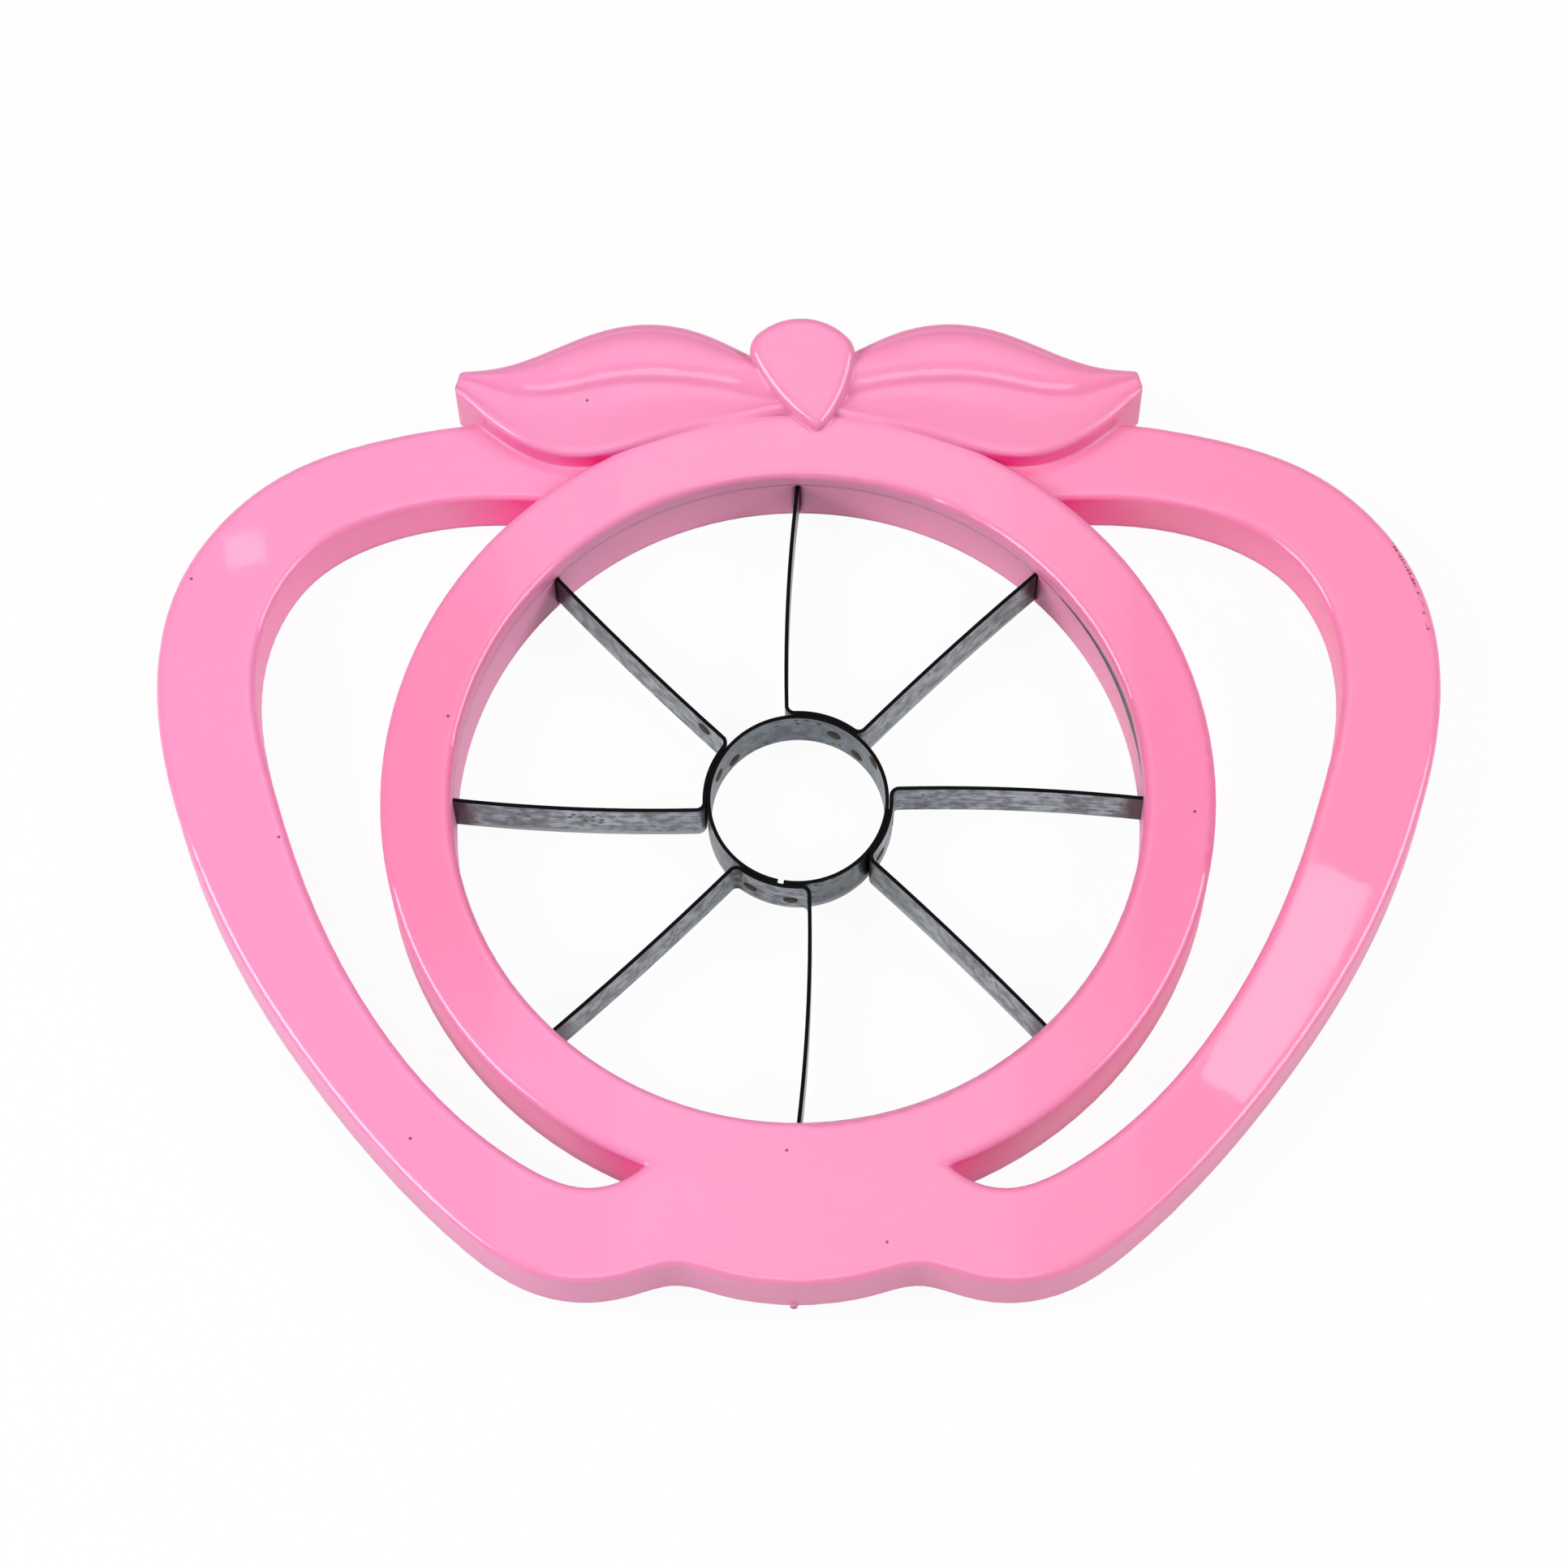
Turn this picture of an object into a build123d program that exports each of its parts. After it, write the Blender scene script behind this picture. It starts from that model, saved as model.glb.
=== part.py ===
"""Apple slicer: a moulded apple-shaped frame, a clamp ring under it, and eight blades round a core ring.

The axis of the core ring is Z. The part stands on the clamp ring's flat underside at Z = 0,
the bridge of the frame is at the front (-Y) and the leaves are at the back (+Y).
"""
import os
from math import cos, degrees, radians, sin

from build123d import *

# Ring of the frame
ring_inner_r = 45.0
ring_width = 9.3
ring_height = 12.0
ring_lip = 3.2
ring_edge_r = 1.0
wall = 2.2

# Handle slab: how far it stands out from the ring, grip widths and the slope that lowers it towards the back
grip_overhang = 30.1
bridge_overhang = 12.3
slab_thickness = 8.6
slab_slope = 1.65
slab_edge_r = 1.0
bridge_width = 12.7
waist_width = 10.3
side_width = 13.0
back_width = 11.2
gap_front_angle = -69.2
gap_back_angle = 52.1
gap_bury = 7.0
gap_bury_turn = 8.0
gap_bury_steps = 4

# Outline of the right half from the middle of the front to the middle of the back, as shares of the
# half width and of the reach on that side: three lobes at the front, then the flank and the shoulder
outline_shares = (
    (0.000, -1.000),
    (0.100, -0.985),
    (0.187, -0.961),
    (0.250, -0.982),
    (0.324, -0.995),
    (0.405, -0.972),
    (0.513, -0.878),
    (0.722, -0.586),
    (0.855, -0.332),
    (0.964, -0.008),
    (1.000, 0.303),
    (0.973, 0.571),
    (0.869, 0.802),
    (0.702, 0.942),
    (0.510, 1.000),
)
# Grip width at the outline points that the finger gap follows
grip_widths = {
    4: bridge_width,
    6: (bridge_width + waist_width) / 2,
    7: waist_width,
    8: (waist_width + side_width) / 2,
    9: side_width,
    10: side_width,
    11: side_width,
    12: (side_width + back_width) / 2,
    13: back_width,
    14: back_width,
}
# Strength of the outline's curve where it leaves the middle of the object
ease_share = 0.5

# Stiffening ribs under the handle
rib_thickness = 1.6
rib_angles = (-38.0, -14.0, 12.0, 34.0)

# Leaves, measured from the top of the ring and from its outer edge
leaf_reach = 46.0
leaf_depth = 19.8
leaf_overlap = 6.7
leaf_rise = 0.8
leaf_base_gap = 2.4
leaf_edge_r = 0.9
fold_drop = 0.5
crest_rise = 1.1
lobe_share = 0.4
# Where the upper lobe rounds over beside the fold, as shares of its width and of its height
shoulder_shares = (0.22, 0.72)
# Each section of a leaf: share of the reach, share of the rise over the ring, then the front edge, fold
# and back edge as shares of the depth
leaf_section_shares = (
    (0.00, 0.40, 0.310, 0.470, 0.700),
    (0.17, 0.50, 0.280, 0.490, 0.810),
    (0.30, 0.70, 0.210, 0.540, 0.950),
    (0.44, 1.00, 0.110, 0.555, 1.000),
    (0.60, 1.00, 0.010, 0.510, 0.930),
    (0.75, 1.00, 0.050, 0.450, 0.775),
    (0.86, 1.00, 0.190, 0.490, 0.680),
    (0.94, 1.00, 0.350, 0.570, 0.650),
    (1.00, 1.00, 0.490, 0.590, 0.630),
)
# Rounding of a leaf's tip in plan
leaf_tip_r = 4.0
leaf_tip_share = 0.50

# Stem: a drop whose tip leans to the right and lies over the ring, higher at the back
stem_reach = 13.0
stem_shoulder = 9.0
stem_overlap = 3.1
stem_width = 14.6
stem_offset = 0.3
stem_lean = 2.4
stem_bulge = 1.2
stem_rise = 2.0
stem_slope = 6.0
stem_tip_r = 1.2
stem_shoulder_r = 3.0
stem_edge_r = 1.1

# Clamp ring
clamp_wall = 4.0
clamp_flange = 2.0
clamp_fit = 0.1
clamp_bevel = 0.25
peg_r = 1.2
peg_height = 2.0
peg_fit = 0.1

# Core ring and blade strips
core_inner_r = 11.4
strip_thickness = 0.5
core_height = 8.5
blade_height = 8.0
blade_end_depth = 3.0
core_seam = 0.8
core_seam_angle = -101.0
weld_gap = 0.05
slot_fit = 0.1
bend_r = 1.3
square_leg_bow = 0.7
diagonal_leg_bow = 0.35
bevel_height = 1.0
bevel_land = 0.15
# Where each leg of a strip meets the core, past the angle of its slot
square_leg_turn = 8.3
diagonal_leg_turn = 2.5
strip_count = 4
strip_names = ("back", "left", "front", "right")

# Overrun of every cut past the faces that it opens
overrun = 1.0

# Worked out from the sizes above
ring_outer_r = ring_inner_r + ring_width
handle_half_width = ring_outer_r + grip_overhang
front_reach = ring_outer_r + bridge_overhang
back_reach = ring_outer_r
lip_z = ring_height - ring_lip
blade_z = lip_z - blade_height
channel_r = ring_outer_r - wall
core_outer_r = core_inner_r + strip_thickness
hug_r = core_outer_r + weld_gap
blade_end_r = ring_inner_r + blade_end_depth
peg_circle_r = ring_inner_r + clamp_wall / 2
slot_pitch = 360 / (2 * strip_count)
leaf_front_y = ring_outer_r - leaf_overlap
leaf_top_z = ring_height + leaf_rise
slope_axis = Axis((0, -channel_r, ring_height), (1, 0, 0))


def polar(radius, angle):
    """Point in plan at a radius and an angle from +X in degrees."""
    return Vector(radius * cos(radians(angle)), radius * sin(radians(angle)))


def mirrored(shape):
    """A shape on the right of the object, with its mirror image on the left."""
    return [shape, mirror(shape, about=Plane.YZ)]


def outline_edge(points):
    """Curve of the handle's right half, square to the middle of the object at both ends."""
    return Spline(*points, tangents=((1, 0), (-1, 0)), tangent_scalars=(ease_share, ease_share))


def outline_points():
    """Right half of the handle's outline, from the middle of the front to the shoulder."""
    points = []
    for x_share, y_share in outline_shares:
        reach = front_reach if y_share < 0 else back_reach
        points.append(Vector(x_share * handle_half_width, y_share * reach))
    return points


def inset_points(widths):
    """Points of the outline moved inwards, square to it, by the width given for each."""
    points = outline_points()
    edge = outline_edge(points)
    moved = []
    for index, width in widths.items():
        inwards = edge.tangent_at(points[index]).rotate(Axis.Z, 90)
        moved.append(points[index] + inwards * width)
    return moved


def outline_face(inset):
    """Apple outline of the handle, straight across the back, made smaller by an inset."""
    widths = {index: inset for index in range(len(outline_shares))}
    right, left = mirrored(outline_edge(inset_points(widths)))
    return make_face([right, Line(right @ 1, left @ 1), left])


def gap_face(margin):
    """Right finger gap, which follows the grip and runs on under the ring, made larger by a margin."""
    buried_r = ring_outer_r - gap_bury
    spread = degrees(margin / buried_r)
    front_angle = gap_front_angle - spread
    back_angle = gap_back_angle + spread
    buried_front = front_angle - gap_bury_turn
    buried_back = back_angle + gap_bury_turn
    points = [
        polar(ring_outer_r, front_angle),
        *inset_points({index: width - margin for index, width in grip_widths.items()}),
        polar(ring_outer_r, back_angle),
    ]
    turn = (buried_front - buried_back) / gap_bury_steps
    points += [polar(buried_r, buried_back + step * turn) for step in range(gap_bury_steps + 1)]
    return make_face(Spline(*points, periodic=True))


def slab():
    """Handle slab with rounded top edges, before it is sloped."""
    gaps = [gap.face().outer_wire() for gap in mirrored(gap_face(0))]
    face = Face(outline_face(0).face().outer_wire(), gaps)
    body = Pos(0, 0, ring_height - slab_thickness) * extrude(face, slab_thickness)
    top = body.faces().sort_by(Axis.Z)[-1]
    body = fillet(top.edges(), slab_edge_r)
    return body - extrude(Circle(channel_r), ring_height + overrun)


def slab_core():
    """Hollow under the slab, with the stiffening ribs left standing."""
    face = outline_face(wall) - mirrored(gap_face(wall)) - Circle(ring_outer_r)
    rib_length = handle_half_width + back_reach
    for angle in rib_angles:
        rib = Pos(rib_length / 2, 0) * Rectangle(rib_length, rib_thickness)
        face -= Rot(0, 0, angle) * rib
        face -= Rot(0, 0, 180 - angle) * rib
    depth = slab_thickness - wall
    return Pos(0, 0, ring_height - slab_thickness - overrun) * extrude(face, depth + overrun)


def sloped(body):
    """A body of the slab turned down towards the back about the front of the ring."""
    return body.rotate(slope_axis, -slab_slope)


def frame_ring():
    """Ring with a rounded top and a channel below for the clamp ring."""
    profile = Polyline(
        (channel_r, 0),
        (ring_outer_r, 0),
        (ring_outer_r, ring_height),
        (ring_inner_r, ring_height),
        (ring_inner_r, lip_z),
        (channel_r, lip_z),
        close=True,
    )
    face = make_face(profile)
    top = face.vertices().group_by(Axis.Y)[-1]
    return revolve(Plane.XZ * fillet(top, ring_edge_r), Axis.Z)


def leaf_station(shares):
    """Place along X of one section of the right leaf, then its front edge, fold and back edge along Y."""
    x_share, _, *y_shares = shares
    return x_share * leaf_reach, [leaf_front_y + share * leaf_depth for share in y_shares]


def leaf_section(shares):
    """Cross-section of the right leaf: dished lower lobe, fold, rounded upper lobe."""
    x, (front, fold, back) = leaf_station(shares)
    top_z = ring_height + leaf_rise * shares[1]
    edge_r = min(leaf_edge_r, (back - front) / 6)
    fold = min(fold, back - 2 * edge_r)
    swell = crest_rise * (back - fold) / (leaf_depth * lobe_share)
    low_z = top_z - edge_r
    valley_z = top_z - fold_drop
    lower_lobe = (front + edge_r, top_z)
    upper_lobe = (back - edge_r, top_z)
    middle = ((lower_lobe[0] + fold) / 2, valley_z)
    along, up = shoulder_shares
    shoulder = (fold + along * (back - fold), valley_z + up * (fold_drop + swell))
    crest = ((fold + back) / 2, top_z + swell)
    edges = [
        Line((front, leaf_base_gap), (front, low_z)),
        RadiusArc((front, low_z), lower_lobe, edge_r),
        ThreePointArc(lower_lobe, middle, (fold, valley_z)),
        Spline((fold, valley_z), shoulder, crest, upper_lobe, tangents=((1, 2), (1, -1))),
        RadiusArc(upper_lobe, (back, low_z), edge_r),
        Line((back, low_z), (back, leaf_base_gap)),
        Line((back, leaf_base_gap), (front, leaf_base_gap)),
    ]
    return Plane.YZ.offset(x) * make_face(edges)


def leaf():
    """Right leaf as a loft from the middle of the object to its tip, which is rounded in plan."""
    body = loft([leaf_section(shares) for shares in leaf_section_shares])
    inner = leaf_reach - leaf_tip_r
    room = Pos(inner / 2, leaf_front_y + leaf_depth / 2) * Rectangle(inner, 2 * leaf_depth)
    tip = Pos(inner, leaf_front_y + leaf_tip_share * leaf_depth) * Circle(leaf_tip_r)
    return body & extrude(room + tip, ring_height + leaf_depth)


def leaf_core_face():
    """Plan of the hollow under the right leaf, as far out as two walls leave room for it."""
    front = []
    back = []
    for shares in leaf_section_shares:
        x, (front_y, _, back_y) = leaf_station(shares)
        if back_y - front_y > 3 * wall:
            x = max(x, rib_thickness / 2)
            front.append((x, front_y + wall))
            back.append((x, back_y - wall))
    sides = [Spline(*front), Spline(*back)]
    return make_face([*sides, Line(front[0], back[0]), Line(front[-1], back[-1])])


def stem_face():
    """Plan of the stem: a round back, full sides and a rounded tip."""
    half_width = stem_width / 2
    shoulder_y = ring_outer_r + stem_shoulder
    tip = (stem_offset + stem_lean, ring_outer_r - stem_overlap)
    right = (stem_offset + half_width, shoulder_y)
    left = (stem_offset - half_width, shoulder_y)
    back = ThreePointArc(right, (stem_offset, ring_outer_r + stem_reach), left)
    sides = [SagittaArc(tip, right, -stem_bulge), SagittaArc(left, tip, -stem_bulge)]
    face = make_face([sides[0], back, sides[1]])
    face = fillet(face.vertices().sort_by(Axis.Y)[0], stem_tip_r)
    return fillet(face.vertices().group_by(Axis.Y)[-1], stem_shoulder_r)


def stem():
    """Stem with a rounded top that slopes down to its tip."""
    body = Pos(0, 0, leaf_base_gap) * extrude(stem_face(), ring_height + stem_reach)
    top_plane = Plane((0, ring_outer_r + stem_overlap, ring_height + stem_rise)).rotated((stem_slope, 0, 0))
    body = split(body, bisect_by=top_plane, keep=Keep.BOTTOM)
    top = body.faces().sort_by(Axis.Z)[-1]
    return fillet(top.edges(), stem_edge_r)


def stem_core_face():
    """Plan of the round hollow under the stem."""
    core_r = stem_width / 2 - 3 * wall / 2
    return Pos(stem_offset, ring_outer_r + stem_reach - wall - core_r) * Circle(core_r)


def relief_core(face):
    """Hollow under a leaf or the stem, clear of the ring."""
    hollow = face - Circle(ring_outer_r)
    return Pos(0, 0, -overrun) * extrude(hollow, leaf_top_z - wall + overrun)


def peg_places():
    """Locating pegs, midway between the blade slots."""
    return PolarLocations(peg_circle_r, 2 * strip_count, start_angle=slot_pitch / 2)


def handle_frame():
    """Whole moulding: ring, sloped handle slab, leaves and stem, hollow underneath."""
    body = sloped(slab()) + frame_ring() + mirrored(leaf()) + stem()
    body -= Pos(0, 0, -overrun) * extrude(Circle(channel_r), lip_z + overrun)
    body -= sloped(slab_core())
    body -= mirrored(relief_core(leaf_core_face()))
    body -= relief_core(stem_core_face())
    socket = Cylinder(peg_r + peg_fit, peg_height + peg_fit, align=(Align.CENTER, Align.CENTER, Align.MIN))
    body -= Pos(0, 0, lip_z) * peg_places() * socket
    return body


def strip_path():
    """Inner side of a strip: in along one leg, round the core and out along the diagonal leg."""
    square = 90
    diagonal = square - slot_pitch
    hug_start = diagonal + diagonal_leg_turn
    hug_turn = square + square_leg_turn - hug_start
    hug = CenterArc((0, 0), hug_r, hug_start, hug_turn)
    square_leg = SagittaArc(polar(blade_end_r, square), hug @ 1, -square_leg_bow)
    diagonal_leg = SagittaArc(hug @ 0, polar(blade_end_r, diagonal), diagonal_leg_bow)
    path = Wire([square_leg, hug, diagonal_leg])
    bends = path.vertices().sort_by_distance((0, 0))[:2]
    return path.fillet_2d(bend_r, bends)


def along_strip(profile):
    """A strip's profile, drawn as thickness and height, carried along its path at the blades' height."""
    path = strip_path()
    left = (path % 0).rotate(Axis.Z, 90)
    plane = Plane(path @ 0, x_dir=left, z_dir=path % 0)
    return Pos(0, 0, blade_z) * sweep(plane * make_face(Polyline(*profile, close=True)), path=path)


def blade_strip(turn):
    """One strip of blade steel, which makes two neighbouring blades, with its lower edge ground."""
    profile = (
        (0, 0),
        (bevel_land, 0),
        (strip_thickness, bevel_height),
        (strip_thickness, blade_height),
        (0, blade_height),
    )
    return Rot(0, 0, turn) * along_strip(profile)


def blade_slots(turn):
    """Room in the clamp ring for the two ends of one strip, open at the top."""
    far = strip_thickness + slot_fit
    top = blade_height + overrun
    return Rot(0, 0, turn) * along_strip(((-slot_fit, 0), (far, 0), (far, top), (-slot_fit, top)))


def core_ring():
    """Rolled core cutter with a butt seam, ground inside its lower edge and level with the blades on top."""
    profile = Polyline(
        (core_outer_r - bevel_land, 0),
        (core_outer_r, 0),
        (core_outer_r, core_height),
        (core_inner_r, core_height),
        (core_inner_r, bevel_height),
        close=True,
    )
    seam_turn = degrees(core_seam / core_outer_r)
    body = revolve(Plane.XZ * make_face(profile), Axis.Z, 360 - seam_turn)
    return Rot(0, 0, core_seam_angle + seam_turn / 2) * Pos(0, 0, lip_z - core_height) * body


def clamp_ring():
    """Lower ring that holds the blade ends in slots and is pegged into the frame."""
    outer_r = channel_r - clamp_fit
    profile = Polyline(
        (ring_inner_r, 0),
        (outer_r, 0),
        (outer_r, clamp_flange),
        (ring_inner_r + clamp_wall, clamp_flange),
        (ring_inner_r + clamp_wall, lip_z),
        (ring_inner_r + clamp_bevel, lip_z),
        (ring_inner_r, lip_z - clamp_bevel),
        close=True,
    )
    body = revolve(Plane.XZ * make_face(profile), Axis.Z)
    peg = Cylinder(peg_r, peg_height, align=(Align.CENTER, Align.CENTER, Align.MIN))
    body += Pos(0, 0, lip_z) * peg_places() * peg
    for index in range(strip_count):
        body -= blade_slots(index * 360 / strip_count)
    return body


def write(name, body):
    """Write one node."""
    export_step(body, f"parts/{name}.step")
    print(name, round(body.volume, 1), len(body.solids()))


os.makedirs("parts", exist_ok=True)
write("handle_frame", handle_frame())
write("blade_clamp_ring", clamp_ring())
write("core_ring", core_ring())
for index, name in enumerate(strip_names):
    write(f"blade_strip_{name}", blade_strip(index * 360 / strip_count))
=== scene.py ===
"""Looks of an apple slicer: pink moulding, steel blades with their welds, light and camera."""
import logging
import math
from dataclasses import dataclass, field
from enum import Enum

import bmesh
import bpy
from mathutils import Matrix, Vector


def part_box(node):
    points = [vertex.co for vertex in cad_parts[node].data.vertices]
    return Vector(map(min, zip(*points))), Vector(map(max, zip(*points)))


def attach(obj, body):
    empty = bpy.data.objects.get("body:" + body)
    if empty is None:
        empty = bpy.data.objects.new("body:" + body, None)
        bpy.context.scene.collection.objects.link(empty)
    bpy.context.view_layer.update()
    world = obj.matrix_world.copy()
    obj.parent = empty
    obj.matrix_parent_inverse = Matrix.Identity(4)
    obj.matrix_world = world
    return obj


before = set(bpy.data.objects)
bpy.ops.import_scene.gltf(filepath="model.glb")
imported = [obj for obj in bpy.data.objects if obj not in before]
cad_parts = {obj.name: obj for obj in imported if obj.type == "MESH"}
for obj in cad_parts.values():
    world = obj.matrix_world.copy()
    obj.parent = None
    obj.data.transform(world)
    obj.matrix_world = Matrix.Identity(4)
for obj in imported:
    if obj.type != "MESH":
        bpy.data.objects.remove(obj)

MM = 0.001
BODY = "root"
LOG = logging.getLogger("apple_slicer")

# Least cosine between a face's normal and the direction that the face is chosen by
FACING = 0.9
# Faces this near to the furthest one, in metres, lie level with it
LEVEL = 1e-6
# The values between which nearly all of a noise texture lies
NOISE_LOW, NOISE_HIGH = 0.3, 0.7
# A Mix node's colour sockets by number, because several of its sockets share a name
FACTOR, UNDER, OVER, BLEND = 0, 6, 7, 2

Socket = bpy.types.NodeSocket
Tree = bpy.types.NodeTree
Colour = tuple[float, float, float, float]
Layer = tuple[Socket, str]
Place = tuple[float, float]
Point = tuple[float, float, float]
Span = tuple[float, float]


def linear(code: str) -> Colour:
    """Turn an sRGB hex value into a linear colour.

    Args:
        code: colour such as "#FFA0CE".

    Returns:
        Linear red, green and blue with full alpha.
    """
    channels = [int(code[start:start + 2], 16) / 255 for start in (1, 3, 5)]
    bent = [c / 12.92 if c <= 0.04045 else ((c + 0.055) / 1.055) ** 2.4 for c in channels]
    return bent[0], bent[1], bent[2], 1.0


def per_metre(size_mm: float) -> float:
    """Scale of a texture whose pattern repeats at a size in millimetres."""
    return 1 / (size_mm * MM)


def add_node(
    tree: Tree, kind: str, inputs: dict | None = None, **settings: object
) -> bpy.types.Node:
    """Add one shader node with its settings, input values and links.

    Args:
        tree: node tree that gets the node.
        kind: Blender's name of the node type.
        inputs: value or output socket for each input, by name or number.
        settings: attributes of the node, set before its inputs.

    Returns:
        The new node.
    """
    node = tree.nodes.new(kind)
    for name, value in settings.items():
        setattr(node, name, value)
    for key, value in (inputs or {}).items():
        if isinstance(value, Socket):
            tree.links.new(value, node.inputs[key])
        else:
            node.inputs[key].default_value = value
    return node


def deselect_all() -> None:
    """Leave nothing selected, so that an operator acts on the new piece alone."""
    bpy.ops.object.select_all(action="DESELECT")


def select_end(piece: bpy.types.Object, direction: Vector) -> None:
    """Select, in edit mode, the faces of a piece that face and lie furthest along a direction.

    Args:
        piece: mesh object in edit mode.
        direction: unit vector that the faces look along.
    """
    shape = bmesh.from_edit_mesh(piece.data)
    for part in (*shape.verts, *shape.edges, *shape.faces):
        part.select = False
    facing = [face for face in shape.faces if face.normal.dot(direction) > FACING]
    furthest = max(face.calc_center_median().dot(direction) for face in facing)
    for face in facing:
        face.select = face.calc_center_median().dot(direction) > furthest - LEVEL
    shape.select_flush(True)
    bmesh.update_edit_mesh(piece.data)


def finish_piece(
    piece: bpy.types.Object, name: str, material: bpy.types.Material
) -> None:
    """Name a new piece, give it its material and slot, and let it ride on the slicer.

    Args:
        piece: finished mesh object, at its place.
        name: name of the piece.
        material: its material.
    """
    piece.name = name
    piece.data.name = name
    piece.data.materials.clear()
    piece.data.materials.append(material)
    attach(piece, BODY)
    LOG.info("piece %s: %d faces", name, len(piece.data.polygons))


def dress_node(name: str, material: bpy.types.Material) -> None:
    """Give a CAD node its material.

    Args:
        name: name of the node.
        material: its material.
    """
    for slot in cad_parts[name].material_slots:
        slot.material = material
    LOG.info("node %s: %s", name, material.name)


class WeldSide(Enum):
    """The side of the core ring on which a spot weld shows."""

    OUTSIDE = 1
    INSIDE = -1


@dataclass(frozen=True)
class Finish:
    """A finish that becomes one material.

    Attributes:
        name: common name of the material and how its surface was made.
    """

    name: str

    def material(self) -> bpy.types.Material:
        """Make the material and wire its nodes.

        Returns:
            The new material.
        """
        made = bpy.data.materials.new(self.name)
        made.use_nodes = True
        shader = next(node for node in made.node_tree.nodes if node.type == "BSDF_PRINCIPLED")
        self.wire(made.node_tree, shader)
        return made

    def wire(self, tree: Tree, shader: bpy.types.Node) -> None:
        """Wire the nodes of the finish to its shader."""
        raise NotImplementedError

    def plan(self, tree: Tree, coord: Socket) -> Socket:
        """Coordinates as seen from above, with no height."""
        flatten = {0: coord, 1: (1, 1, 0)}
        return add_node(tree, "ShaderNodeVectorMath", flatten, operation="MULTIPLY").outputs[0]

    def reach(self, tree: Tree, coord: Socket) -> Socket:
        """Distance from the axis of the core ring."""
        arm = {0: self.plan(tree, coord)}
        return add_node(tree, "ShaderNodeVectorMath", arm, operation="LENGTH").outputs["Value"]

    def near(
        self,
        tree: Tree,
        coord: Socket,
        places_mm: tuple[Place, ...],
        radius_mm: float,
        full: float = 0.6,
    ) -> Socket:
        """Mask of 1 near any of some places in plan, falling to 0 at a radius.

        Args:
            tree: node tree of the material.
            coord: object coordinates.
            places_mm: places in plan.
            radius_mm: radius of each spot.
            full: share of the radius within which the mask is 1.

        Returns:
            Output socket of the mask.
        """
        plan = self.plan(tree, coord)
        least: Socket | None = None
        for x, y in places_mm:
            ends = {0: plan, 1: (x * MM, y * MM, 0)}
            node = add_node(tree, "ShaderNodeVectorMath", ends, operation="DISTANCE")
            gap = node.outputs["Value"]
            if least is not None:
                pair = {0: gap, 1: least}
                gap = add_node(tree, "ShaderNodeMath", pair, operation="MINIMUM").outputs[0]
            least = gap
        radius = radius_mm * MM
        fall = {"From Min": radius * full, "From Max": radius, "To Min": 1.0, "To Max": 0.0}
        return add_node(tree, "ShaderNodeMapRange", {"Value": least, **fall}).outputs[0]

    def lay(self, tree: Tree, colour: Socket, layers: list[Layer]) -> Socket:
        """Lay colours over a colour, each where its mask is 1.

        Args:
            tree: node tree of the material.
            colour: the colour underneath.
            layers: mask and sRGB hex value of each colour, from the lowest up.

        Returns:
            Output socket of the colour that shows.
        """
        for mask, code in layers:
            coat = {FACTOR: mask, UNDER: colour, OVER: linear(code)}
            colour = add_node(tree, "ShaderNodeMix", coat, data_type="RGBA").outputs[BLEND]
        return colour


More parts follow.
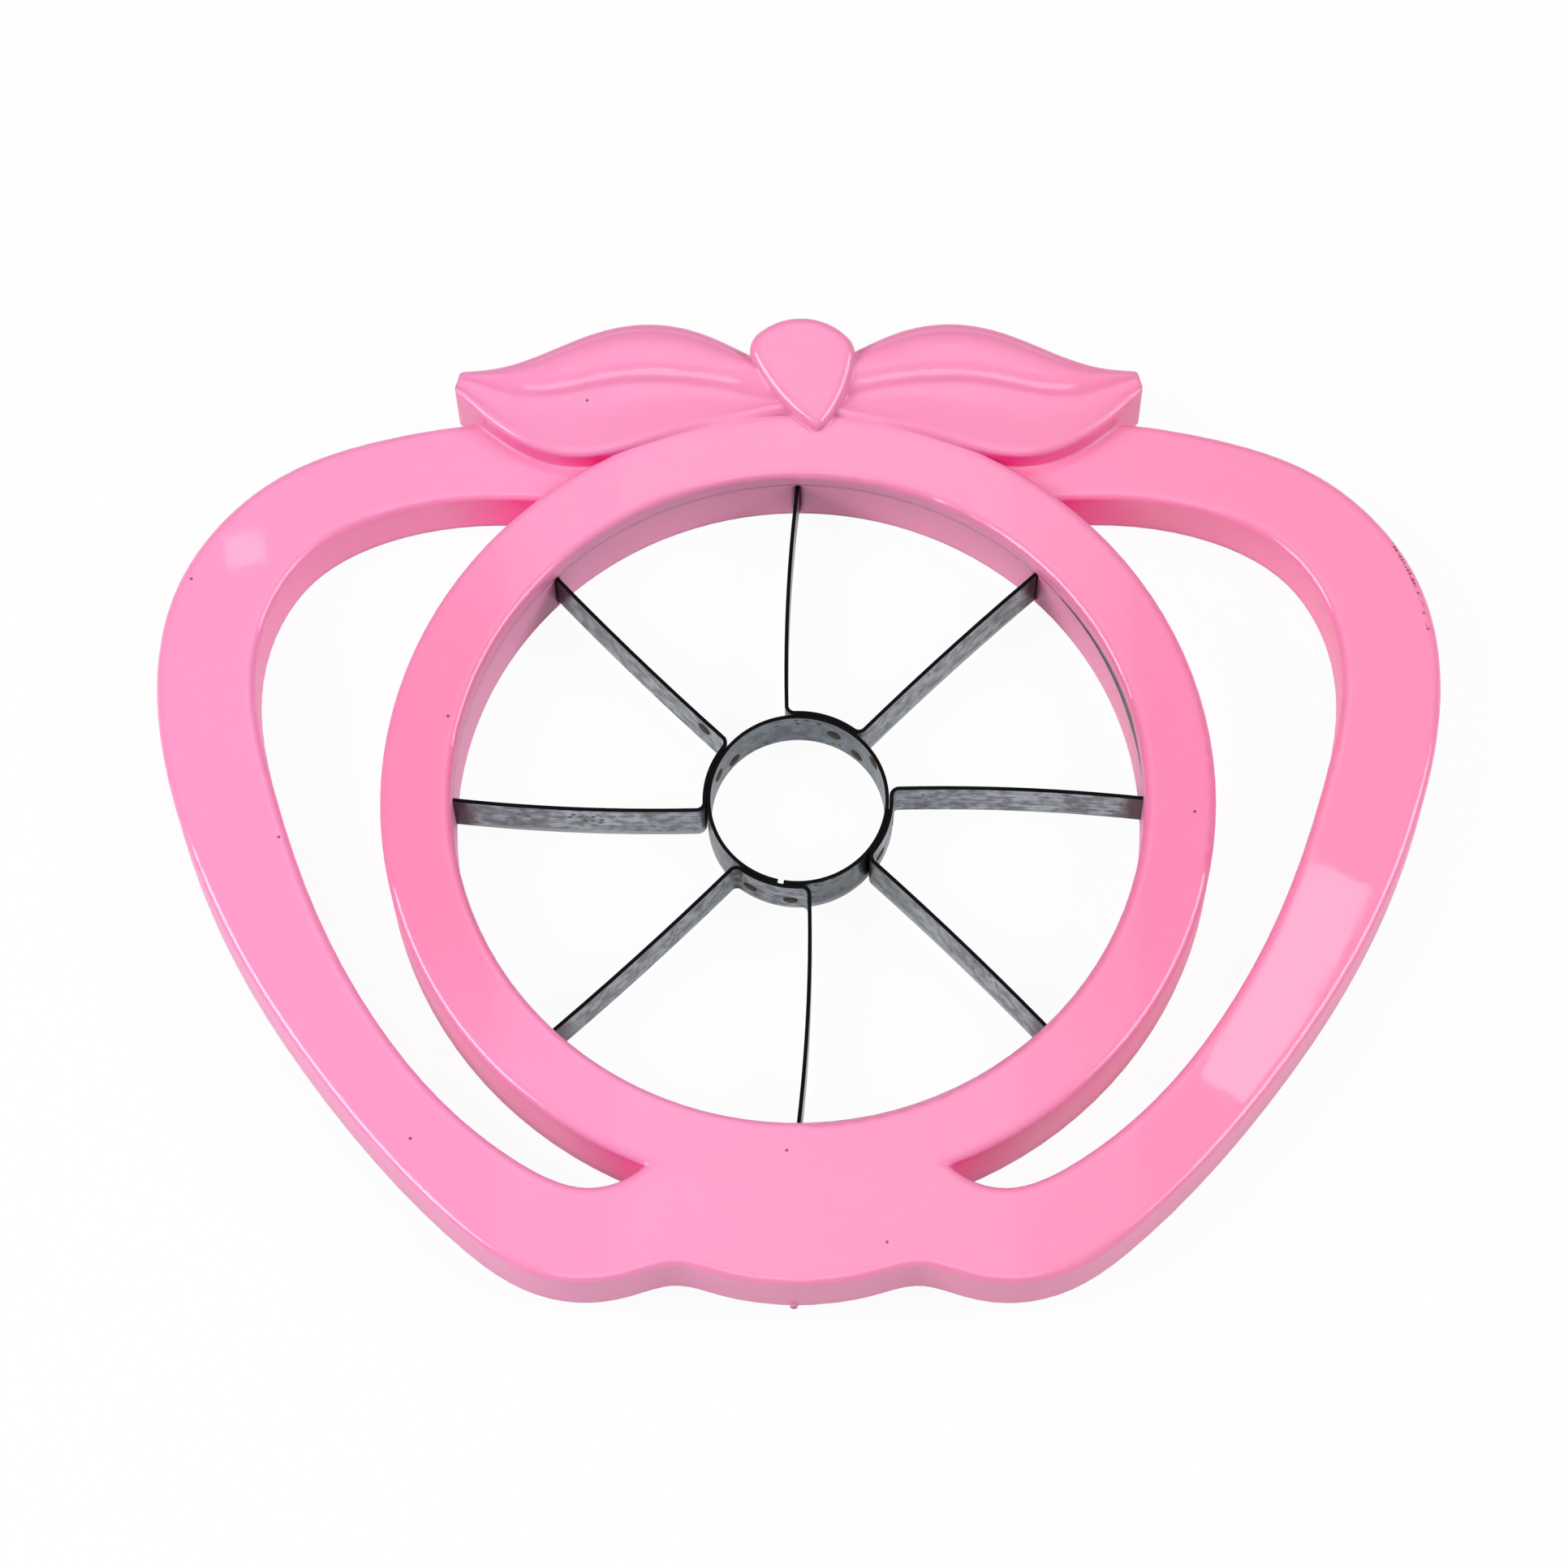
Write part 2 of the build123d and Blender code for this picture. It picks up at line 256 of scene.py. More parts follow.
# Injection-moulded ABS: even pink with a wet gloss on the flat faces and duller walls, faint flow
# clouds, a slow sink that makes reflections waver, soft edges that let light bleed through,
# painted shade that deepens the pink towards the right and on the ring's two sides, a painted hot
# pink where close walls light each other, a few burnt specks, one scuffed edge and painted shade
# in the open seam
@dataclass(frozen=True)
class MouldedAbs(Finish):
    """Glossy pink ABS, moulded in a polished tool.

    Attributes:
        pink: colour of the plastic.
        cloud: colour of the flow clouds.
        cloud_mm: size of a flow cloud.
        deep: painted shade, a deeper pink towards the right.
        deep_mm: where along X it starts and is full.
        flank: painted shade, a deeper pink at the ring's two sides.
        flank_radius_mm: outer radius of the ring, or 0 where there is no ring.
        flank_spread: share of X in the direction from the axis where a flank starts and is full.
        corner: painted light, a hot pink of walls that light each other.
        corner_radius_mm: how far it spreads from a corner.
        corner_places_mm: the corners where the ring meets the rest.
        mark: colour of specks and scuffs.
        speck_radius_mm: radius of a speck.
        speck_places_mm: places of the specks.
        scuff_radius_mm: radius of a scuff.
        scuff_places_mm: places of the scuffs.
        scuff_grain_mm: size of the grain that breaks up a scuff.
        scuff_break: noise values between which the grain starts and is full.
        seam_gap_shade: colour of the painted shade in the open seam.
        seam_height_mm: height of the seam, or 0 where there is none.
        seam_width_mm: half the width of the seam where it gapes most.
        seam_radius_mm: the seam shows on walls inside this radius.
        seam_arc: angles where the seam opens, gapes most and closes.
        ior: index of refraction.
        bleed_share: share of the light that spreads inside the plastic.
        bleed_mm: how far red, green and blue spread.
        round_mm: radius that the edges are shaded with.
        round_rays: rays that look for an edge.
        gloss: roughness of the polished faces, from clean to smeared.
        wall_gloss: roughness of the walls.
        wall_slope: rise of the normal between a wall and a flat face.
        smear_mm: size of a smear.
        sink_mm: size of a sink mark.
        sink_depth_mm: its depth.
        peel_mm: size of the fine waves in the skin.
        peel_depth_mm: their depth.
    """

    pink: str = "#FA98C6"
    cloud: str = "#F992C0"
    cloud_mm: float = 24.0
    deep: str = "#FA8EB7"
    deep_mm: Span = (-40.0, 70.0)
    flank: str = "#F987B3"
    flank_radius_mm: float = 0.0
    flank_spread: Span = (0.6, 1.0)
    corner: str = "#FF3DA8"
    corner_radius_mm: float = 11.0
    corner_places_mm: tuple[Place, ...] = ()
    mark: str = "#7D4A60"
    speck_radius_mm: float = 0.26
    speck_places_mm: tuple[Place, ...] = ()
    scuff_radius_mm: float = 0.27
    scuff_places_mm: tuple[Place, ...] = ()
    scuff_grain_mm: float = 0.9
    scuff_break: Span = (0.46, 0.54)
    seam_gap_shade: str = "#3A1F28"
    seam_height_mm: float = 0.0
    seam_width_mm: float = 1.5
    seam_radius_mm: float = 46.0
    seam_arc: Point = (2.0, 14.0, 44.0)
    ior: float = 1.58
    bleed_share: float = 0.3
    bleed_mm: Point = (2.0, 0.5, 1.0)
    round_mm: float = 1.0
    round_rays: int = 8
    gloss: Span = (0.015, 0.035)
    wall_gloss: float = 0.4
    wall_slope: Span = (0.15, 0.45)
    smear_mm: float = 6.0
    sink_mm: float = 9.0
    sink_depth_mm: float = 0.008
    peel_mm: float = 3.0
    peel_depth_mm: float = 0.0016

    def flat_faces(self, tree: Tree) -> Socket:
        """Mask of the faces that look up or down, falling to 0 on the walls.

        Args:
            tree: node tree of the material.

        Returns:
            Output socket of the mask.
        """
        facing = add_node(tree, "ShaderNodeTexCoord").outputs["Normal"]
        rise = add_node(tree, "ShaderNodeSeparateXYZ", {0: facing}).outputs["Z"]
        lift = add_node(tree, "ShaderNodeMath", {0: rise}, operation="ABSOLUTE").outputs[0]
        slope = {"Value": lift, "From Min": self.wall_slope[0], "From Max": self.wall_slope[1]}
        return add_node(tree, "ShaderNodeMapRange", slope).outputs[0]

    def flanks(self, tree: Tree, coord: Socket) -> Socket:
        """Mask of the ring's two sides, where painted shade makes the pink deeper.

        Args:
            tree: node tree of the material.
            coord: object coordinates.

        Returns:
            Output socket of the mask.
        """
        edge = self.flank_radius_mm * MM
        inside = {"Value": self.reach(tree, coord), "From Min": edge, "From Max": edge - MM}
        ring = add_node(tree, "ShaderNodeMapRange", inside).outputs[0]
        arm = {0: self.plan(tree, coord)}
        aim = add_node(tree, "ShaderNodeVectorMath", arm, operation="NORMALIZE").outputs[0]
        side = add_node(tree, "ShaderNodeSeparateXYZ", {0: aim}).outputs["X"]
        away = add_node(tree, "ShaderNodeMath", {0: side}, operation="ABSOLUTE").outputs[0]
        start, end = self.flank_spread
        spread = {"Value": away, "From Min": start, "From Max": end}
        ease = "SMOOTHSTEP"
        flank = add_node(tree, "ShaderNodeMapRange", spread, interpolation_type=ease).outputs[0]
        both = {0: ring, 1: flank}
        return add_node(tree, "ShaderNodeMath", both, operation="MULTIPLY").outputs[0]

    def corners(self, tree: Tree, coord: Socket, flat: Socket) -> Socket:
        """Mask of painted light on the walls in the corners where the ring meets the rest.

        Args:
            tree: node tree of the material.
            coord: object coordinates.
            flat: mask of the flat faces.

        Returns:
            Output socket of the mask.
        """
        places, radius = self.corner_places_mm, self.corner_radius_mm
        pocket = self.near(tree, coord, places, radius, full=0.0)
        rest = {0: 1.0, 1: flat}
        wall = add_node(tree, "ShaderNodeMath", rest, operation="SUBTRACT").outputs[0]
        both = {0: pocket, 1: wall}
        return add_node(tree, "ShaderNodeMath", both, operation="MULTIPLY").outputs[0]

    def scuffs(self, tree: Tree, coord: Socket) -> Socket:
        """Mask of the scuffs, broken up by a grain.

        Args:
            tree: node tree of the material.
            coord: object coordinates.

        Returns:
            Output socket of the mask.
        """
        area = self.near(tree, coord, self.scuff_places_mm, self.scuff_radius_mm)
        grain = {"Vector": coord, "Scale": per_metre(self.scuff_grain_mm), "Detail": 4.0}
        broken = add_node(tree, "ShaderNodeTexNoise", grain).outputs[0]
        start, end = self.scuff_break
        limits = {"Value": broken, "From Min": start, "From Max": end}
        worn = add_node(tree, "ShaderNodeMapRange", limits).outputs[0]
        both = {0: area, 1: worn}
        return add_node(tree, "ShaderNodeMath", both, operation="MULTIPLY").outputs[0]

    def seam(self, tree: Tree, coord: Socket) -> Socket:
        """Mask of painted shade along the open stretch of the seam between the frame and its clamp
        ring.

        Args:
            tree: node tree of the material.
            coord: object coordinates.

        Returns:
            Output socket of the mask.
        """
        axes = add_node(tree, "ShaderNodeSeparateXYZ", {0: coord}).outputs
        sides = {0: axes["Y"], 1: axes["X"]}
        turn = add_node(tree, "ShaderNodeMath", sides, operation="ARCTAN2").outputs[0]
        low, middle, high = (math.radians(angle) for angle in self.seam_arc)
        opens = {"Value": turn, "From Min": low, "From Max": middle}
        opening = add_node(tree, "ShaderNodeMapRange", opens).outputs[0]
        shuts = {"Value": turn, "From Min": high, "From Max": middle}
        shutting = add_node(tree, "ShaderNodeMapRange", shuts).outputs[0]
        least = {0: opening, 1: shutting}
        arc = add_node(tree, "ShaderNodeMath", least, operation="MINIMUM").outputs[0]
        gape = {0: arc, 1: self.seam_width_mm * MM}
        width = add_node(tree, "ShaderNodeMath", gape, operation="MULTIPLY").outputs[0]
        level = {0: axes["Z"], 1: self.seam_height_mm * MM, 2: width}
        height = add_node(tree, "ShaderNodeMath", level, operation="COMPARE").outputs[0]
        limit = {0: self.reach(tree, coord), 1: self.seam_radius_mm * MM}
        inner = add_node(tree, "ShaderNodeMath", limit, operation="LESS_THAN").outputs[0]
        both = {0: height, 1: inner}
        return add_node(tree, "ShaderNodeMath", both, operation="MULTIPLY").outputs[0]

    def layers(self, tree: Tree, coord: Socket, flat: Socket) -> list[Layer]:
        """Colours that lie over the clouded pink.

        Args:
            tree: node tree of the material.
            coord: object coordinates.
            flat: mask of the flat faces.

        Returns:
            Mask and sRGB hex value of each, from the lowest up.
        """
        # painted shade: the pink deepens towards the right
        across = add_node(tree, "ShaderNodeSeparateXYZ", {0: coord}).outputs["X"]
        start, end = self.deep_mm
        drift = {"Value": across, "From Min": start * MM, "From Max": end * MM}
        found = [(add_node(tree, "ShaderNodeMapRange", drift).outputs[0], self.deep)]
        if self.flank_radius_mm:
            # painted shade on the ring's two sides
            found.append((self.flanks(tree, coord), self.flank))
        if self.corner_places_mm:
            # painted light: hot pink where close walls light each other
            found.append((self.corners(tree, coord, flat), self.corner))
        if self.speck_places_mm:
            specks = self.near(tree, coord, self.speck_places_mm, self.speck_radius_mm)
            found.append((specks, self.mark))
        if self.scuff_places_mm:
            found.append((self.scuffs(tree, coord), self.mark))
        if self.seam_height_mm:
            # painted shade of the open gap between the frame and its clamp ring
            found.append((self.seam(tree, coord), self.seam_gap_shade))
        return found

    def roughness(self, tree: Tree, coord: Socket, flat: Socket) -> Socket:
        """Roughness of the smeared, polished faces and of the duller walls.

        Args:
            tree: node tree of the material.
            coord: object coordinates.
            flat: mask of the flat faces.

        Returns:
            Output socket of the roughness.
        """
        smear = {"Vector": coord, "Scale": per_metre(self.smear_mm), "Detail": 4.0}
        film = add_node(tree, "ShaderNodeTexNoise", smear).outputs[0]
        clean, smeared = self.gloss
        ends = {"From Min": NOISE_LOW, "From Max": NOISE_HIGH, "To Min": clean, "To Max": smeared}
        polish = add_node(tree, "ShaderNodeMapRange", {"Value": film, **ends}).outputs[0]
        rubbed = {"Value": flat, "To Min": self.wall_gloss, "To Max": polish}
        return add_node(tree, "ShaderNodeMapRange", rubbed).outputs[0]

    def relief(self, tree: Tree, coord: Socket) -> Socket:
        """Normal with rounded edges, sink marks and the fine waves of the skin.

        Args:
            tree: node tree of the material.
            coord: object coordinates.

        Returns:
            Output socket of the normal.
        """
        sink = {"Vector": coord, "Scale": per_metre(self.sink_mm), "Detail": 1.0}
        dips = add_node(tree, "ShaderNodeTexNoise", sink).outputs[0]
        peel = {"Vector": coord, "Scale": per_metre(self.peel_mm), "Detail": 2.0}
        skin = add_node(tree, "ShaderNodeTexNoise", peel).outputs[0]
        waves = {0: skin, 1: self.peel_depth_mm * MM}
        fine = add_node(tree, "ShaderNodeMath", waves, operation="MULTIPLY").outputs[0]
        whole = {0: dips, 1: self.sink_depth_mm * MM, 2: fine}
        height = add_node(tree, "ShaderNodeMath", whole, operation="MULTIPLY_ADD").outputs[0]
        arc = {"Radius": self.round_mm * MM}
        edges = add_node(tree, "ShaderNodeBevel", arc, samples=self.round_rays).outputs["Normal"]
        rise = {"Height": height, "Distance": 1.0, "Normal": edges}
        return add_node(tree, "ShaderNodeBump", rise).outputs["Normal"]

    def wire(self, tree: Tree, shader: bpy.types.Node) -> None:
        """Wire colour, marks, gloss and relief.

        Args:
            tree: node tree of the material.
            shader: its shader node.
        """
        coord = add_node(tree, "ShaderNodeTexCoord").outputs["Object"]
        flat = self.flat_faces(tree)
        flow = {"Vector": coord, "Scale": per_metre(self.cloud_mm), "Detail": 3.0}
        cloud = add_node(tree, "ShaderNodeTexNoise", flow).outputs[0]
        tones = {FACTOR: cloud, UNDER: linear(self.pink), OVER: linear(self.cloud)}
        base = add_node(tree, "ShaderNodeMix", tones, data_type="RGBA").outputs[BLEND]
        colour = self.lay(tree, base, self.layers(tree, coord, flat))
        tree.links.new(colour, shader.inputs["Base Color"])
        tree.links.new(self.roughness(tree, coord, flat), shader.inputs["Roughness"])
        tree.links.new(self.relief(tree, coord), shader.inputs["Normal"])
        shader.inputs["IOR"].default_value = self.ior
        shader.inputs["Subsurface Weight"].default_value = self.bleed_share
        shader.inputs["Subsurface Radius"].default_value = self.bleed_mm
        shader.inputs["Subsurface Scale"].default_value = MM


# Cold-rolled stainless strip: grey with rolling lines along the strip, cloudy patches, small dark
# pits, stains by the welds, a near-black band along the upper edge, a brighter ground band at the
# cutting edge below, and ends with a painted reflection of the shaded ring wall where they run
# into the ring. Rolling lines are far finer than a pixel, so they are drawn as coarse as they need
# to show
@dataclass(frozen=True)
class RolledSteel(Finish):
    """Rolled stainless strip, sheared on top and ground at its lower edge.

    Attributes:
        bright: colour of the clean steel.
        dull: colour of the cloudy steel.
        tone_range: sum of two noise values where the steel is dull and where it is bright.
        gloss: roughness between the rolling lines and on them.
        grain_mm: spacing of the rolling lines.
        grain_length_mm: length of a rolling line.
        grain_depth_mm: depth of the lines and pits.
        cloud_mm: size of a cloudy patch.
        pitted: colour of a pit.
        pit_pitch_mm: distance between pits.
        pit_radius_mm: radius of a pit.
        pit_core: share of that radius within which a pit is darkest.
        pit_share: share of the steel that has pits.
        pit_edge: noise values, less that share, between which the pits set in.
        patch_mm: size of a pitted patch.
        sheared: near-black colour of a band along the upper edge.
        top_mm: height of the upper edge.
        shear_mm: depth of the dark edge below the top.
        ground: colour of the ground band.
        ground_mm: height of the ground band's upper limit.
        shade: colour of the painted reflection of the shaded ring wall on the blade ends.
        shade_mm: distance from the axis where the ends start to darken and are darkest.
        stain: colour of the stains.
        stain_radius_mm: radius of a stain.
        stain_places_mm: places of the stains.
        stain_break: noise values between which a stain's ragged rim lies.
    """

    bright: str = "#A4AAB2"
    dull: str = "#5C6168"
    tone_range: Span = (0.9, 1.13)
    gloss: Span = (0.24, 0.42)
    grain_mm: float = 0.22
    grain_length_mm: float = 9.0
    grain_depth_mm: float = 0.004
    cloud_mm: float = 1.7
    pitted: str = "#221F1C"
    pit_pitch_mm: float = 1.3
    pit_radius_mm: float = 0.45
    pit_core: float = 0.5
    pit_share: float = 0.38
    pit_edge: Span = (0.98, 1.04)
    patch_mm: float = 5.0
    sheared: str = "#141416"
    top_mm: float = 0.0
    shear_mm: float = 0.09
    ground: str = "#9C9EA2"
    ground_mm: float = 0.0
    shade: str = "#3A1724"
    shade_mm: Span = (41.8, 43.6)
    stain: str = "#241A12"
    stain_radius_mm: float = 1.5
    stain_places_mm: tuple[Place, ...] = ((-7.6, -9.1), (8.8, -8.0))
    stain_break: Span = (0.35, 0.55)

    def pits(self, tree: Tree, coord: Socket) -> Socket:
        """Mask of the pits, in patches.

        Args:
            tree: node tree of the material.
            coord: object coordinates.

        Returns:
            Output socket of the mask.
        """
        cells = {"Vector": coord, "Scale": per_metre(self.pit_pitch_mm)}
        gap = add_node(tree, "ShaderNodeTexVoronoi", cells).outputs["Distance"]
        rim = self.pit_radius_mm / self.pit_pitch_mm
        fall = {"From Min": rim * self.pit_core, "From Max": rim, "To Min": 1.0, "To Max": 0.0}
        spots = add_node(tree, "ShaderNodeMapRange", {"Value": gap, **fall}).outputs[0]
        spread = {"Vector": coord, "Scale": per_metre(self.patch_mm), "Detail": 1.0}
        patch = add_node(tree, "ShaderNodeTexNoise", spread).outputs[0]
        start, end = (limit - self.pit_share for limit in self.pit_edge)
        limits = {"Value": patch, "From Min": start, "From Max": end}
        pitted = add_node(tree, "ShaderNodeMapRange", limits).outputs[0]
        both = {0: spots, 1: pitted}
        return add_node(tree, "ShaderNodeMath", both, operation="MULTIPLY").outputs[0]

    def stains(self, tree: Tree, coord: Socket, cloud: Socket) -> Socket:
        """Mask of the stains, with ragged rims.

        Args:
            tree: node tree of the material.
            coord: object coordinates.
            cloud: noise of the cloudy patches.

        Returns:
            Output socket of the mask.
        """
        spots = self.near(tree, coord, self.stain_places_mm, self.stain_radius_mm)
        start, end = self.stain_break
        limits = {"Value": cloud, "From Min": start, "From Max": end}
        ragged = add_node(tree, "ShaderNodeMapRange", limits).outputs[0]
        both = {0: spots, 1: ragged}
        return add_node(tree, "ShaderNodeMath", both, operation="MULTIPLY").outputs[0]

    def layers(self, tree: Tree, coord: Socket, cloud: Socket, pits: Socket) -> list[Layer]:
        """Colours that lie over the clouded grey.

        Args:
            tree: node tree of the material.
            coord: object coordinates.
            cloud: noise of the cloudy patches.
            pits: mask of the pits.

        Returns:
            Mask and sRGB hex value of each, from the lowest up.
        """
        height = add_node(tree, "ShaderNodeSeparateXYZ", {0: coord}).outputs["Z"]
        # near-black band along the top of each strip
        above = {0: height, 1: (self.top_mm - self.shear_mm) * MM}
        shear = add_node(tree, "ShaderNodeMath", above, operation="GREATER_THAN").outputs[0]
        below = {0: height, 1: self.ground_mm * MM}
        ground = add_node(tree, "ShaderNodeMath", below, operation="LESS_THAN").outputs[0]
        # painted reflection: the blade ends darken where they mirror the shaded ring wall
        start, end = self.shade_mm
        far = {"Value": self.reach(tree, coord), "From Min": start * MM, "From Max": end * MM}
        ends = add_node(tree, "ShaderNodeMapRange", far).outputs[0]
        return [
            (pits, self.pitted),
            (ground, self.ground),
            (ends, self.shade),
            (self.stains(tree, coord, cloud), self.stain),
            (shear, self.sheared),
        ]

    def wire(self, tree: Tree, shader: bpy.types.Node) -> None:
        """Wire rolling lines, patches, pits and the two edges.

        Args:
            tree: node tree of the material.
            shader: its shader node.
        """
        coord = add_node(tree, "ShaderNodeTexCoord").outputs["Object"]
        along, across = per_metre(self.grain_length_mm), per_metre(self.grain_mm)
        stretch = {"Vector": coord, "Scale": (along, along, across)}
        drawn = add_node(tree, "ShaderNodeMapping", stretch).outputs[0]
        lines = {"Vector": drawn, "Scale": 1.0, "Detail": 5.0}
        grain = add_node(tree, "ShaderNodeTexNoise", lines).outputs[0]
        cloudy = {"Vector": coord, "Scale": per_metre(self.cloud_mm), "Detail": 4.0}
        cloud = add_node(tree, "ShaderNodeTexNoise", cloudy).outputs[0]
        both = {0: grain, 1: cloud}
        sum_up = add_node(tree, "ShaderNodeMath", both, operation="ADD").outputs[0]
        dim, clear = self.tone_range
        worn = {"Value": sum_up, "From Min": dim, "From Max": clear}
        tone = add_node(tree, "ShaderNodeMapRange", worn).outputs[0]
        tones = {FACTOR: tone, UNDER: linear(self.dull), OVER: linear(self.bright)}
        base = add_node(tree, "ShaderNodeMix", tones, data_type="RGBA").outputs[BLEND]
        pits = self.pits(tree, coord)
        colour = self.lay(tree, base, self.layers(tree, coord, cloud, pits))
        low, high = self.gloss
        ends = {"From Min": NOISE_LOW, "From Max": NOISE_HIGH, "To Min": low, "To Max": high}
        rough = add_node(tree, "ShaderNodeMapRange", {"Value": grain, **ends}).outputs[0]
        cut = {0: grain, 1: pits}
        relief = add_node(tree, "ShaderNodeMath", cut, operation="SUBTRACT").outputs[0]
        rise = {"Height": relief, "Distance": self.grain_depth_mm * MM}
        bump = add_node(tree, "ShaderNodeBump", rise).outputs["Normal"]
        tree.links.new(colour, shader.inputs["Base Color"])
        tree.links.new(rough, shader.inputs["Roughness"])
        tree.links.new(bump, shader.inputs["Normal"])
        shader.inputs["Metallic"].default_value = 1.0


# Spot weld in steel: a scorched brown crater, mottled, with no polish left
@dataclass(frozen=True)
class ScorchedWeld(Finish):
    """Heat-burnt steel of a spot weld.

    Attributes:
        brown: colour of the scorched steel.
        black: colour of the burnt spots.
        mottle_mm: size of a burnt spot.
        roughness: roughness all over.
        metallic: share of bare metal in the burnt skin.
    """

    brown: str = "#523A14"
    black: str = "#0B0806"
    mottle_mm: float = 0.6
    roughness: float = 0.7
    metallic: float = 0.2

    def wire(self, tree: Tree, shader: bpy.types.Node) -> None:
        """Wire a mottle of brown and black.

        Args:
            tree: node tree of the material.
            shader: its shader node.
        """
        coord = add_node(tree, "ShaderNodeTexCoord").outputs["Object"]
        spots = {"Vector": coord, "Scale": per_metre(self.mottle_mm), "Detail": 4.0}
        mottle = add_node(tree, "ShaderNodeTexNoise", spots).outputs[0]
        tones = {FACTOR: mottle, UNDER: linear(self.black), OVER: linear(self.brown)}
        colour = add_node(tree, "ShaderNodeMix", tones, data_type="RGBA").outputs[BLEND]
        tree.links.new(colour, shader.inputs["Base Color"])
        shader.inputs["Roughness"].default_value = self.roughness
        shader.inputs["Metallic"].default_value = self.metallic


@dataclass
class FrameMoulding:
    """The pink frame with its clamp ring, and the stub of the gate at the front.

    Attributes:
        ring_radius_mm: outer radius of the frame's ring.
        gate_radius_mm: radius of the gate's stub.
        gate_stub_mm: how far the stub stands out of the front wall.
        gate_height_mm: height of the stub's middle above the worktop.
        gate_offset_mm: place of the stub along X.
        gate_sides: sides of the stub.
        gate_insets: width and rise of each step in its end, as shares of radius and length.
        gate_smooth: angle in degrees up to which its edges are shaded smooth.
        gate_look: colours and roughness of the broken plastic.
        speck_places_mm: places of the burnt specks.
        scuff_path_mm: line of the scuffs along the right grip's outer edge.
        scuff_steps: scuffs on each leg of that line.
        corner_places_mm: the corners where the ring meets leaves, grips and bridge.
    """

    ring_radius_mm: float = 54.5
    gate_radius_mm: float = 0.5
    gate_stub_mm: float = 0.35
    gate_height_mm: float = 4.3
    gate_offset_mm: float = -0.4
    gate_sides: int = 14
    gate_insets: tuple[Span, ...] = ((0.3, 0.4), (0.3, -0.5))
    gate_smooth: float = 50.0
    gate_look: dict[str, str | Span] = field(
        default_factory=lambda: {"pink": "#E79AB8", "cloud": "#D98AA8", "gloss": (0.4, 0.6)}
    )
    speck_places_mm: tuple[Place, ...] = (
        (-48.9, -47.3),
        (-67.3, -6.0),
        (-80.5, 31.1),
        (-45.7, 10.4),
        (11.3, -61.0),
        (-28.3, 56.0),
        (51.4, -3.0),
        (-1.3, -48.9),
    )
    scuff_path_mm: tuple[Place, ...] = ((78.9, 36.2), (81.0, 31.8), (82.3, 27.4), (83.1, 23.2))
    scuff_steps: int = 9
    corner_places_mm: tuple[Place, ...] = (
        (-36.8, 43.8),
        (36.2, 43.8),
        (-26.8, 48.6),
        (28.0, 48.2),
        (-20.6, -49.3),
        (20.4, -49.2),
    )

    def scuff_places(self) -> tuple[Place, ...]:
        """Places of the small scuffs in a chain along their line.

        Returns:
            Places in plan, in millimetres.
        """
        legs = zip(self.scuff_path_mm, self.scuff_path_mm[1:])
        shares = [step / self.scuff_steps for step in range(self.scuff_steps)]
        return tuple(
            (start[0] + (end[0] - start[0]) * share, start[1] + (end[1] - start[1]) * share)
            for start, end in legs
            for share in shares
        )

    def gate_stub(self) -> bpy.types.Object:
        """Model the broken-off gate: a short stub with a ragged, sunken end.

        Returns:
            The stub at its place on the front wall.
        """
        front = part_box("handle_frame")[0].y
        radius, length = self.gate_radius_mm * MM, self.gate_stub_mm * MM
        deselect_all()
        bpy.ops.mesh.primitive_cylinder_add(
            vertices=self.gate_sides,
            radius=radius,
            depth=2 * length,
            location=(self.gate_offset_mm * MM, front, self.gate_height_mm * MM),
            rotation=(math.pi / 2, 0, 0),
        )
        stub = bpy.context.object
        bpy.ops.object.transform_apply(location=True, rotation=True, scale=True)
        bpy.ops.object.mode_set(mode="EDIT")
        select_end(stub, Vector((0, -1, 0)))
        for width, rise in self.gate_insets:
            bpy.ops.mesh.inset(thickness=radius * width, depth=length * rise)
        bpy.ops.mesh.select_all(action="DESELECT")
        bpy.ops.object.mode_set(mode="OBJECT")
        bpy.ops.object.shade_smooth_by_angle(angle=math.radians(self.gate_smooth))
        return stub

    def build(self) -> None:
        """Dress the two mouldings and add the gate's stub."""
        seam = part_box("blade_strip_back")[1].z / MM
        pink = MouldedAbs(
            "moulded_glossy_abs",
            seam_height_mm=seam,
            flank_radius_mm=self.ring_radius_mm,
            speck_places_mm=self.speck_places_mm,
            scuff_places_mm=self.scuff_places(),
            corner_places_mm=self.corner_places_mm,
        )
        dress_node("handle_frame", pink.material())
        clamp = MouldedAbs("moulded_abs_clamp_ring", seam_height_mm=seam)
        dress_node("blade_clamp_ring", clamp.material())
        broken = MouldedAbs("broken_abs_gate", **self.gate_look)
        finish_piece(self.gate_stub(), "gate_stub", broken.material())


